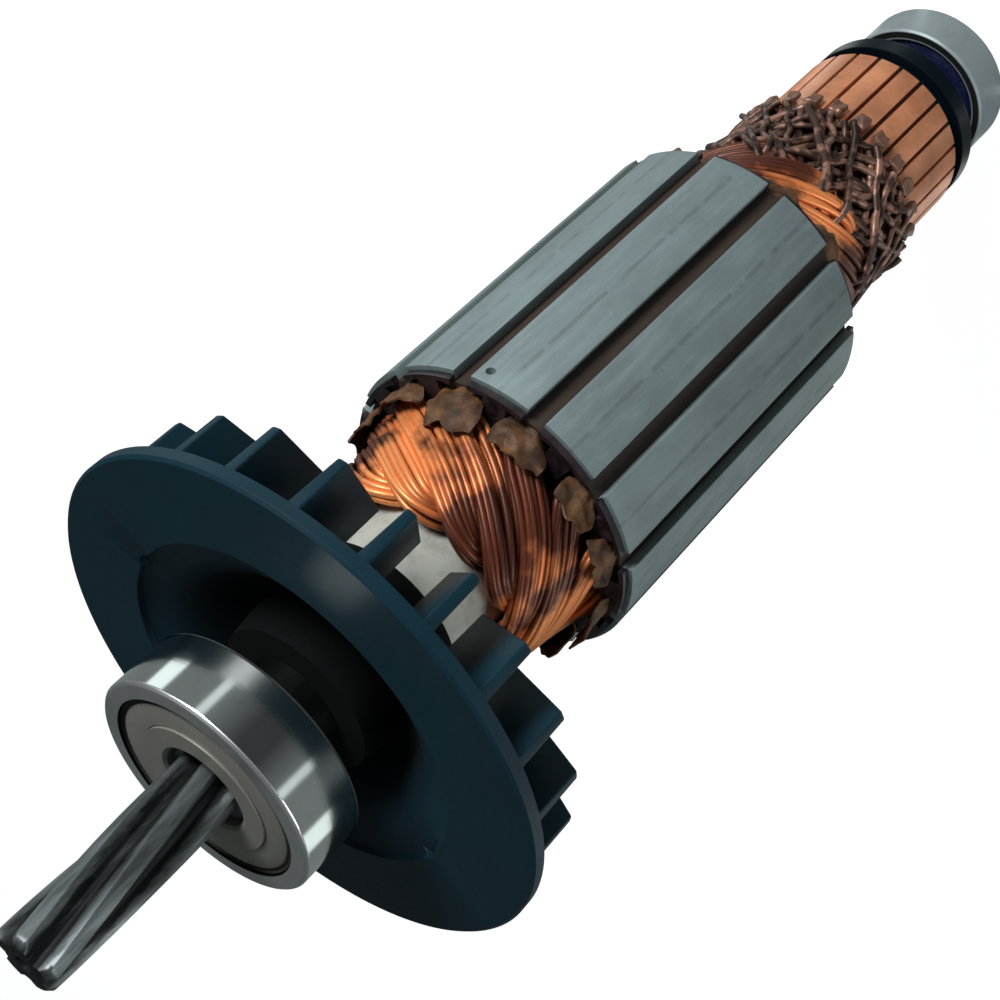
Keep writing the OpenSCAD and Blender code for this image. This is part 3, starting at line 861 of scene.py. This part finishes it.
class ARMATURE_OT_fan(bpy.types.Operator):
    """Moulded radial fan"""
    bl_idname = "armature.fan"
    bl_label = "Fan"

    def execute(self, context):
        size, hues = settings(context)
        front = high("cooling_fan")
        disc = self.disc(front, radius("cooling_fan"))
        piece = fuse("fan_moulding", [disc] + self.blades(size, front))
        # The fan's middle is painted black as the shade in its dish
        dress(piece, moulded_plastic("fan_plastic", hues.fan, shaded_r=13 * MM), "rotor",
              "fan_plastic", "cooling_fan")
        return {"FINISHED"}

    def disc(self, front, rim):
        """Disc with a dished middle and the hub behind it, with two ejector lobes."""
        dish, hub = 18.4 * MM, 8.8 * MM
        outline = [
            (rim - 0.3 * MM, 0), (dish + 0.1 * MM, 0), (dish - 0.1 * MM, 0.6),
            (16.2 * MM, 1.35), (14.0 * MM, 2.5), (12.4 * MM, 3.9), (11.0 * MM, 5.4),
            (9.6 * MM, 5.9), (hub, 6.0), (hub - 0.6 * MM, 1.1), (SHAFT_R, 1.0), (SHAFT_R, 13.3),
            (hub, 13.3), (hub, 8.4), (11.5 * MM, 7.2), (14.5 * MM, 4.3),
            (16.6 * MM, 2.6), (18.7 * MM, 1.7), (rim, 1.5), (rim, 0.3)]
        disc = lathe("fan_disc", [(r, front - depth * MM) for r, depth in outline], steps=192)
        for turn in (0, math.pi):
            place = polar(17.3 * MM, turn, front + 0.2 * MM)
            combine(disc, rod("ejector_pin", 1.7 * MM, 2 * MM, place, 48))
        return soften(disc, 0.12 * MM, sharp=28)

    def blades(self, size, front):
        """One tapered blade with rounded edges, copied round the disc."""
        (inner, outer), (top, tip, foot) = (16.3 * MM, 26 * MM), (0.9 * MM, 8.7 * MM, 12.77 * MM)
        blade = block("fan_blade", ((inner + outer) / 2, 0, front - tip / 2),
                      (outer - inner, size.blade_t, tip))
        for spot in blade.data.vertices:
            x, y, z = spot.co
            near = x < (inner + outer) / 2
            if z < front - tip / 2:
                z = front - (foot if near else tip)
            else:
                z = front - (2.6 * MM if near else top)
            spot.co = (x, y * (0.9 if z < front - tip / 2 else 1.15), z)
        soften(blade, 0.22 * MM, 3)
        return copies(blade, size.blade_count, size.blade_phase)


# ---------------------------------------------------------------- core

def slot_half(r):
    """Half the slot's width at a radius, between teeth with parallel sides."""
    tooth = 2.6 * MM
    return r * math.tan(math.pi / SLOTS) - tooth / 2 / math.cos(math.pi / SLOTS)


class ARMATURE_OT_core(bpy.types.Operator):
    """Slotted lamination core with its end fibres and wedges"""
    bl_idname = "armature.core"
    bl_label = "Core"

    def execute(self, context):
        size, hues = settings(context)
        core = self.stack(size)
        dress(core, lamination_steel(hues, size), "rotor", "lamination_steel",
              "lamination_core")
        repaint(end_fibre(hues), "front_end_insulator", "rear_end_insulator")
        repaint(slot_wedge(hues), "slot_wedges")
        repaint(hub_resin(hues), "commutator_hub")
        repaint(sleeve_plastic("sleeve_plastic", hues.sleeve), "front_sleeve")
        repaint(sleeve_plastic("soaked_sleeve", hues.fibre), "rear_sleeve")
        return {"FINISHED"}

    def stack(self, size):
        z0, z1 = span("lamination_core")
        middle = (0, 0, (z0 + z1) / 2)
        core = rod("lamination_stack", radius("lamination_core"), z1 - z0, middle, 360)
        cutters = [rod("core_bore", SHAFT_R, z1, middle, 96)]
        cutters += copies(self.slot_cutter(z0, z1), SLOTS, size.slot_phase)
        cutters.append(self.dot_cutter(size, z1))
        for cutter in cutters:
            combine(core, cutter)
        return soften(core, 0.1 * MM, sharp=35)

    def slot_cutter(self, z0, z1):
        """Prism with the slot's outline: a body between the teeth and a narrow mouth."""
        floor, lip, mouth = 9.3 * MM, 15.7 * MM, 1.05 * MM
        body = block("slot_cutter", ((floor + lip) / 2, 0, (z0 + z1) / 2),
                     (lip - floor, 1, z1 - z0 + 4 * MM))
        for spot in body.data.vertices:
            spot.co.y = math.copysign(slot_half(spot.co.x), spot.co.y)
        bpy.ops.object.mode_set(mode="EDIT")
        bpy.ops.mesh.select_all(action="DESELECT")
        bpy.ops.object.mode_set(mode="OBJECT")
        for face in body.data.polygons:
            face.select = face.normal.x > 0.9
        bpy.ops.object.mode_set(mode="EDIT")
        bpy.ops.mesh.extrude_region_move()
        bpy.ops.transform.resize(value=(1, mouth / slot_half(lip), 1))
        bpy.ops.mesh.extrude_region_move(TRANSFORM_OT_translate={"value": (3 * MM, 0, 0)})
        bpy.ops.object.mode_set(mode="OBJECT")
        return body

    def dot_cutter(self, size, z1):
        """Small drill mark in one tooth near the fan."""
        turn = size.slot_phase - 2.25 * math.tau / SLOTS
        place = polar(radius("lamination_core"), turn, z1 - 1.6 * MM)
        return rod("drill_mark", 0.5 * MM, 1.6 * MM, place, 24, (0, math.pi / 2, turn))


class ARMATURE_OT_papers(bpy.types.Operator):
    """Slot papers whose ends stand out as soaked, curled flaps"""
    bl_idname = "armature.papers"
    bl_label = "Slot papers"

    def execute(self, context):
        size, hues = settings(context)
        z0, z1 = span("lamination_core")
        reach = high("slot_papers") - z1
        dice = random.Random(11)
        flaps = []
        for i in range(SLOTS):
            turn = size.slot_phase + i * math.tau / SLOTS
            flaps.append(self.flap(turn, z1, reach * dice.uniform(0.75, 1.0), 1, i, dice))
            flaps.append(self.flap(turn, z0, reach * dice.uniform(0.6, 0.8), -1, i + 40, dice))
        piece = fuse("slot_paper_flaps", flaps)
        dress(piece, slot_paper(hues), "rotor", "slot_paper", "slot_papers")
        return {"FINISHED"}

    def flap(self, turn, face, reach, way, seed, dice):
        """Curled tongue over the coil where it leaves the slot, with the cuff below it."""
        wide, tall = 9, 10
        half, skew = dice.uniform(2.2, 3.0) * MM, dice.uniform(-0.22, 0.22)
        curl = dice.uniform(-0.4, 1.3) * MM
        deselect()
        bpy.ops.mesh.primitive_grid_add(x_subdivisions=wide, y_subdivisions=tall, size=1)
        sheet = named("paper_flap")
        for spot in sheet.data.vertices:
            across, along = spot.co.x * 2, spot.co.y + 0.5
            spread = 0.62 + 0.5 * math.sin(along * 2.2)
            spot_at = Vector((across * 1.5, along * 2.4, seed * 7.3))
            crumple = 0.4 - 1.6 * abs(noise.noise(spot_at))
            edge = noise.noise(Vector((across * 3.2, seed * 3.1, 0))) * 0.4 - across ** 4 * 0.2
            out = 15.2 * MM - across * across * 0.8 * MM + crumple * 0.9 * MM
            out -= curl * along * along
            height = face + way * (-0.6 * MM + (reach + 0.6 * MM) * along * (1 + edge * along))
            side = (across + skew * along) * half * spread
            spot.co = (out * math.cos(turn) - side * math.sin(turn),
                       out * math.sin(turn) + side * math.cos(turn), height)
        modify(sheet, "SUBSURF", levels=1, render_levels=1)
        modify(sheet, "SOLIDIFY", thickness=0.22 * MM, offset=0)
        bpy.ops.object.shade_smooth_by_angle(angle=math.radians(20))
        return sheet


# ---------------------------------------------------------------- winding

class Route:
    """The way a coil's bundle takes over one winding head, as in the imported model."""

    def __init__(self, size):
        half = size.bundle_d / 2
        low_r, high_r = 10.7 * MM, 13.35 * MM
        wrap = radius("front_sleeve") + half + 0.2 * MM
        climb = wrap + size.bundle_d
        first = 0.7 * MM + half
        top = 11.85 * MM - half
        gain = (top - first - 2 * MM) / 50
        drop = (top - first - 1.2 * MM) / 57

        def rise(turn):
            return first + 0.9 * MM + gain * (turn - 9)

        def fall(turn):
            return top - 0.9 * MM - drop * (turn - 87)

        flat, round_ = (1.75 * MM, 0.85 * MM), (1.1 * MM, 1.0 * MM)
        slot = (1.25 * MM, 1.0 * MM)
        self.keys = [
            (high_r, 0, -2.4 * MM, slot), (high_r, 0, -0.6 * MM, slot),
            (high_r, 0, first * 0.7, slot), (climb + 1.15 * MM, 9, rise(9), flat),
            (climb + 0.55 * MM, 32, rise(32), flat), (climb - 0.1 * MM, 58, rise(58), flat),
            (wrap + 1.15 * MM, 73, top, (1.4 * MM, 0.9 * MM)),
            (wrap + 0.05 * MM, 87, fall(87), round_), (wrap, 108, fall(108), round_),
            (wrap + 0.1 * MM, 131, fall(131), round_),
            (low_r - 0.25 * MM, 145, first + 0.4 * MM, round_),
            (low_r, 150, first * 0.7, slot), (low_r, 150, -0.6 * MM, slot),
            (low_r, 150, -2.4 * MM, slot)]

    def frames(self, start, face, way, fine=5):
        """Centre, side, outward direction and half sizes of the bundle along the head."""
        keys = [Vector((r, math.radians(turn), h)) for r, turn, h, _ in self.keys]
        halves = [Vector(half) for *_, half in self.keys]
        spots, sizes = [], []
        for i in range(1, len(keys) - 2):
            a, b, c, d = keys[i - 1:i + 3]
            for k in range(fine):
                t = k / fine
                spots.append(0.5 * (2 * b + (c - a) * t + (2 * a - 5 * b + 4 * c - d) * t * t
                                    + (3 * b - a - 3 * c + d) * t ** 3))
                sizes.append(halves[i].lerp(halves[i + 1], t))
        spots.append(keys[-2])
        sizes.append(halves[-2])
        centres = [polar(r, start - turn, face + way * h) for r, turn, h in spots]
        frames = []
        for i, centre in enumerate(centres):
            along = (centres[min(i + 1, len(centres) - 1)] - centres[max(i - 1, 0)]).normalized()
            out = Vector((centre.x, centre.y, 0)).normalized()
            up = (out - out.dot(along) * along).normalized()
            frames.append((centre, along.cross(up), up, sizes[i]))
        return frames


class ARMATURE_OT_winding(bpy.types.Operator):
    """Twelve coils wound of separate wires, each over the ones before it"""
    bl_idname = "armature.winding"
    bl_label = "Winding"

    def execute(self, context):
        size, hues = settings(context)
        finish = copper_wire("enamelled_copper", hues.copper, hues.varnish)
        route = Route(size)
        dice = random.Random(5)
        heads = ((high("lamination_core"), 1), (low("lamination_core"), -1))
        for i in range(SLOTS):
            start = size.slot_phase - i * math.tau / SLOTS
            wires = []
            for face, way in heads:
                wires += self.bundle(route.frames(start, face, way), size, dice)
            piece = fuse(f"coil_{i + 1}_wires", wires)
            dress(piece, finish, "rotor", "enamelled_copper", f"coil_{i + 1}")
        return {"FINISHED"}

    def bundle(self, frames, size, dice):
        """Two layers of wires side by side, wandering a little as hand-wound ones do."""
        across, wires = 6, []
        for j in range(2 * across):
            layer, column = (1, -1)[j // across], j % across
            place = (column + 0.5) / across * 2 - 1
            seed, loose = dice.uniform(0, 100), dice.choice((0.25, 0.3, 0.5, 0.85)) * MM
            points = []
            for k, (centre, side, up, half) in enumerate(frames):
                t = k / (len(frames) - 1)
                sway = noise.noise_vector(Vector((seed, t * 4.2, seed))) * loose
                sway *= min(1, 8 * t, 8 * (1 - t))
                lift = (half[1] - size.wire_d / 2) * math.sqrt(1 - 0.8 * place * place)
                points.append(centre + side * (place * half[0] + sway.x)
                              + up * (layer * lift + sway.y))
            wires.append(strand(points, size.wire_d * dice.uniform(0.94, 1.04), dice.random()))
        return wires


class ARMATURE_OT_leads(bpy.types.Operator):
    """Crossed leads from the winding to the commutator's hooks"""
    bl_idname = "armature.leads"
    bl_label = "Leads"

    def execute(self, context):
        size, hues = settings(context)
        finish = copper_wire("varnished_leads", hues.lead, hues.soot, 0.42, 0.0016, 0)
        (_, _, bottom), (rim, _, top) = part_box("coil_leads")
        dice = random.Random(23)
        wires = []
        for i in range(BARS):
            turn = size.slot_phase + i * math.tau / BARS
            for layer, way in enumerate((1, -1, 1, -1, 1, -1)):
                reach = rim - (0.1 + 0.32 * layer) * MM
                ends = (bottom, top + dice.uniform(0, 1) ** 0.7 * 6.2 * MM)
                wires.append(self.lead(turn + 0.05 * layer, way, ends, reach, size, dice))
        piece = fuse("crossed_leads", wires)
        dress(piece, finish, "rotor", "varnished_leads", "coil_leads")
        return {"FINISHED"}

    def lead(self, turn, way, ends, reach, size, dice):
        """One lead from the fold of the winding down to its hook, drawn in at its middle."""
        steps = 26
        bottom, top = ends
        lean = math.radians(dice.uniform(28, 75))
        seed = dice.uniform(0, 50)
        waist = 33.5 * MM
        points = []
        for k in range(steps + 1):
            t = k / steps
            stray = noise.noise_vector(Vector((seed, t * 4.5, 0)))
            z = top - (top - bottom) * t
            r = reach - 0.8 * MM + min(0.8, abs(z - waist) / (8 * MM)) * MM
            r += stray.x * 0.7 * MM - max(0, 1 - 7 * t) * 2 * MM
            a = turn + way * lean * (t - 1) + stray.y * 0.1
            points.append(polar(r, a, z + stray.z * 0.9 * MM * (1 - t)))
        return strand(points, size.lead_d * dice.uniform(0.9, 1.25), dice.random() ** 2)


# ---------------------------------------------------------------- commutator

class ARMATURE_OT_commutator(bpy.types.Operator):
    """Turned copper bars with hooks, and the dust collar behind them"""
    bl_idname = "armature.commutator"
    bl_label = "Commutator"

    def execute(self, context):
        size, hues = settings(context)
        nodes = [f"commutator_bar_{i + 1}" for i in range(BARS)]
        z0, z1 = span(nodes[0])
        bars = self.bars(size, z0, z1)
        piece = fuse("turned_bars", [bars] + self.hooks(size, z1))
        dress(piece, bar_copper(hues), "rotor", "bar_copper", *nodes)
        self.collar(hues)
        return {"FINISHED"}

    def bars(self, size, z0, z1):
        track = size.track_r
        inside = 7.6 * MM
        ring = lathe("bar_ring", [(inside, z0), (track - 0.2 * MM, z0), (track, z0 + 0.2 * MM),
                                  (track, z1 - 0.1 * MM), (track - 0.1 * MM, z1), (inside, z1)],
                     steps=240)
        saw = block("mica_saw", (track - 2 * MM, 0, (z0 + z1) / 2),
                    (8 * MM, 0.5 * MM, (z1 - z0) * 1.5))
        phase = size.slot_phase - math.pi / BARS
        for cut in copies(saw, BARS, phase):
            combine(ring, cut)
        soften(ring, 0.07 * MM, sharp=40)
        dice = random.Random(3)
        tints = [dice.random() for _ in range(BARS)]
        layer = ring.data.attributes.new("tint", "FLOAT", "POINT")
        pitch = math.tau / BARS
        layer.data.foreach_set("value", [
            tints[int((math.atan2(v.co.y, v.co.x) - phase) // pitch) % BARS]
            for v in ring.data.vertices])
        return ring

    def hooks(self, size, z1):
        """One hook bent back over its lead and drowned in varnish, copied to every bar."""
        lip, rim = size.track_r - 0.2 * MM, radius("commutator_bar_1")
        hook, bend = [
            block("hook", ((inner + rim) / 2, 0, (foot + z1) / 2), (rim - inner, wide, z1 - foot))
            for inner, foot, wide in ((lip, z1 - 0.9 * MM, 1.8 * MM),
                                      (rim - 0.85 * MM, z1 - 2.2 * MM, 1.6 * MM))]
        combine(hook, bend, "UNION")
        modify(hook, "REMESH", mode="VOXEL", voxel_size=0.13 * MM)
        modify(hook, "SMOOTH", factor=0.6, iterations=30)
        bpy.ops.object.shade_smooth()
        stain(hook, HOOK_TINT)
        hooks = copies(hook, BARS, size.slot_phase)
        for i, twin in enumerate(hooks):
            for spot in twin.data.vertices:
                lump = noise.noise_vector(spot.co * 900 + Vector((i, 0, 0)))
                spot.co += lump * 0.32 * MM
        return hooks

    def collar(self, hues):
        z0, z1 = span("dust_collar")
        rim = radius("dust_collar")
        neck, groove = 6.9 * MM, 9.6 * MM
        band, ring = 2.5 * MM, z1 - 0.8 * MM
        piece = lathe("collar_moulding", [
            (SHAFT_R, z0), (neck, z0), (neck, ring - band - 0.8 * MM),
            (neck + 0.8 * MM, ring - band), (rim - 0.2 * MM, ring - band),
            (rim, ring - band + 0.2 * MM), (rim, ring), (groove, ring), (groove, z1),
            (SHAFT_R, z1)], steps=144)
        soften(piece, 0.12 * MM)
        dress(piece, moulded_plastic("collar_plastic", hues.collar, 0.36), "rotor",
              "collar_plastic", "dust_collar")


# ---------------------------------------------------------------- stage

class ARMATURE_OT_stage(bpy.types.Operator):
    """Pale floor, soft light and the camera"""
    bl_idname = "armature.stage"
    bl_label = "Stage"

    def execute(self, context):
        studio = context.scene.armature_studio
        self.floor()
        self.sky(context, studio)
        self.camera(context, studio)
        self.lamps(context, studio)
        context.scene.view_settings.view_transform = "Standard"
        return {"FINISHED"}

    def floor(self):
        """Floor that is white but for a soft shadow, and that metal mirrors as panels."""
        deselect()
        bpy.ops.mesh.primitive_plane_add(size=6, location=(0, 0, CAD_BOX[0][2]))
        floor = named("studio_floor")
        material = bpy.data.materials.new("floor_white")
        material.use_nodes = True
        material.node_tree.nodes.clear()
        graph = Graph(material.node_tree)
        ray = graph.node("ShaderNodeLightPath").socket.node.outputs
        camera, glossy = Value(graph, ray["Is Camera Ray"]), Value(graph, ray["Is Glossy Ray"])
        x, y, _ = graph.split(graph.node("ShaderNodeTexCoord", output="Object"))
        turn = y.maths("ARCTAN2", x) / math.tau
        panels = 0
        for aim, half, edge, level in PANELS:
            away = abs((turn - aim / 360 + 1.5).maths("MODULO", 1.0) - 0.5)
            panels = away.below(half / 360, edge / 360) * level + panels
        mirrored = graph.node("ShaderNodeEmission", {}, {
            "Color": graph.mix(panels, (0.05, 0.056, 0.056), (1.4, 1.5, 1.48))})
        matte = graph.node("ShaderNodeBsdfDiffuse", {}, {"Color": (0.5, 0.5, 0.5)})
        white = graph.node("ShaderNodeEmission", {}, {"Color": (0.91, 0.91, 0.91)})
        white = graph.node("ShaderNodeAddShader", {}, {0: white, 1: matte})
        shown = graph.node("ShaderNodeMixShader", {}, {0: glossy, 1: matte, 2: mirrored})
        shown = graph.node("ShaderNodeMixShader", {}, {0: camera, 1: shown, 2: white})
        graph.node("ShaderNodeOutputMaterial", {}, {"Surface": shown})
        floor.data.materials.append(material)

    def sky(self, context, studio):
        world = bpy.data.worlds.new("studio_light")
        context.scene.world = world
        world.use_nodes = True
        sky = world.node_tree.nodes["Background"]
        sky.inputs["Color"].default_value = (0.9, 0.97, 1, 1)
        graph = Graph(world.node_tree)
        camera = graph.node("ShaderNodeLightPath", output="Is Camera Ray")
        graph.feed(sky.inputs["Strength"], camera * (1 - studio.sky) + studio.sky)

    def camera(self, context, studio):
        data = bpy.data.cameras.new("studio_camera")
        data.lens = studio.lens
        data.clip_start = 0.005
        camera = bpy.data.objects.new("studio_camera", data)
        context.collection.objects.link(camera)
        aim = Vector((0, studio.aim_depth, studio.aim_height))
        back = Vector((0, -math.cos(studio.elevation), math.sin(studio.elevation)))
        turn = (-back).to_track_quat("-Z", "Y").to_matrix().to_4x4()
        camera.matrix_world = (Matrix.Translation(aim + back * studio.distance) @ turn
                               @ Matrix.Rotation(studio.roll, 4, "Z"))
        context.scene.camera = camera

    def lamps(self, context, studio):
        self.lamp(context, "key", (0.42, -0.378, 0.284), 0.25, studio.key_power)
        self.lamp(context, "fill", (-0.54, -0.24, 0.17), 0.3, studio.fill_power)

    def lamp(self, context, name, place, size, power):
        data = bpy.data.lights.new(name, "AREA")
        data.shape = "DISK"
        data.size = size
        data.energy = power
        lamp = bpy.data.objects.new(name, data)
        context.collection.objects.link(lamp)
        aim = Vector((0, 0, 80 * MM))
        lamp.location = place
        lamp.rotation_euler = (aim - Vector(place)).to_track_quat("-Z", "Y").to_euler()


class ARMATURE_PT_panel(bpy.types.Panel):
    """Steps that finish the armature"""
    bl_label = "Armature"
    bl_space_type = "VIEW_3D"
    bl_region_type = "UI"
    bl_category = "Armature"

    def draw(self, context):
        for step in STEPS:
            self.layout.operator(step.bl_idname)


STEPS = [ARMATURE_OT_stage, ARMATURE_OT_shaft, ARMATURE_OT_bearings, ARMATURE_OT_fan,
         ARMATURE_OT_core, ARMATURE_OT_papers, ARMATURE_OT_winding, ARMATURE_OT_leads,
         ARMATURE_OT_commutator]
GROUPS = {"armature_sizes": ArmatureSizes, "armature_colours": ArmatureColours,
          "armature_studio": StudioSettings}


def register():
    for kind in (*GROUPS.values(), *STEPS, ARMATURE_PT_panel):
        bpy.utils.register_class(kind)
    for name, kind in GROUPS.items():
        setattr(bpy.types.Scene, name, PointerProperty(type=kind))


def unregister():
    for name in GROUPS:
        delattr(bpy.types.Scene, name)
    for kind in (ARMATURE_PT_panel, *reversed(STEPS), *GROUPS.values()):
        bpy.utils.unregister_class(kind)


def main():
    register()
    for step in STEPS:
        group, name = step.bl_idname.split(".")
        getattr(getattr(bpy.ops, group), name)()


if __name__ == "__main__":
    main()
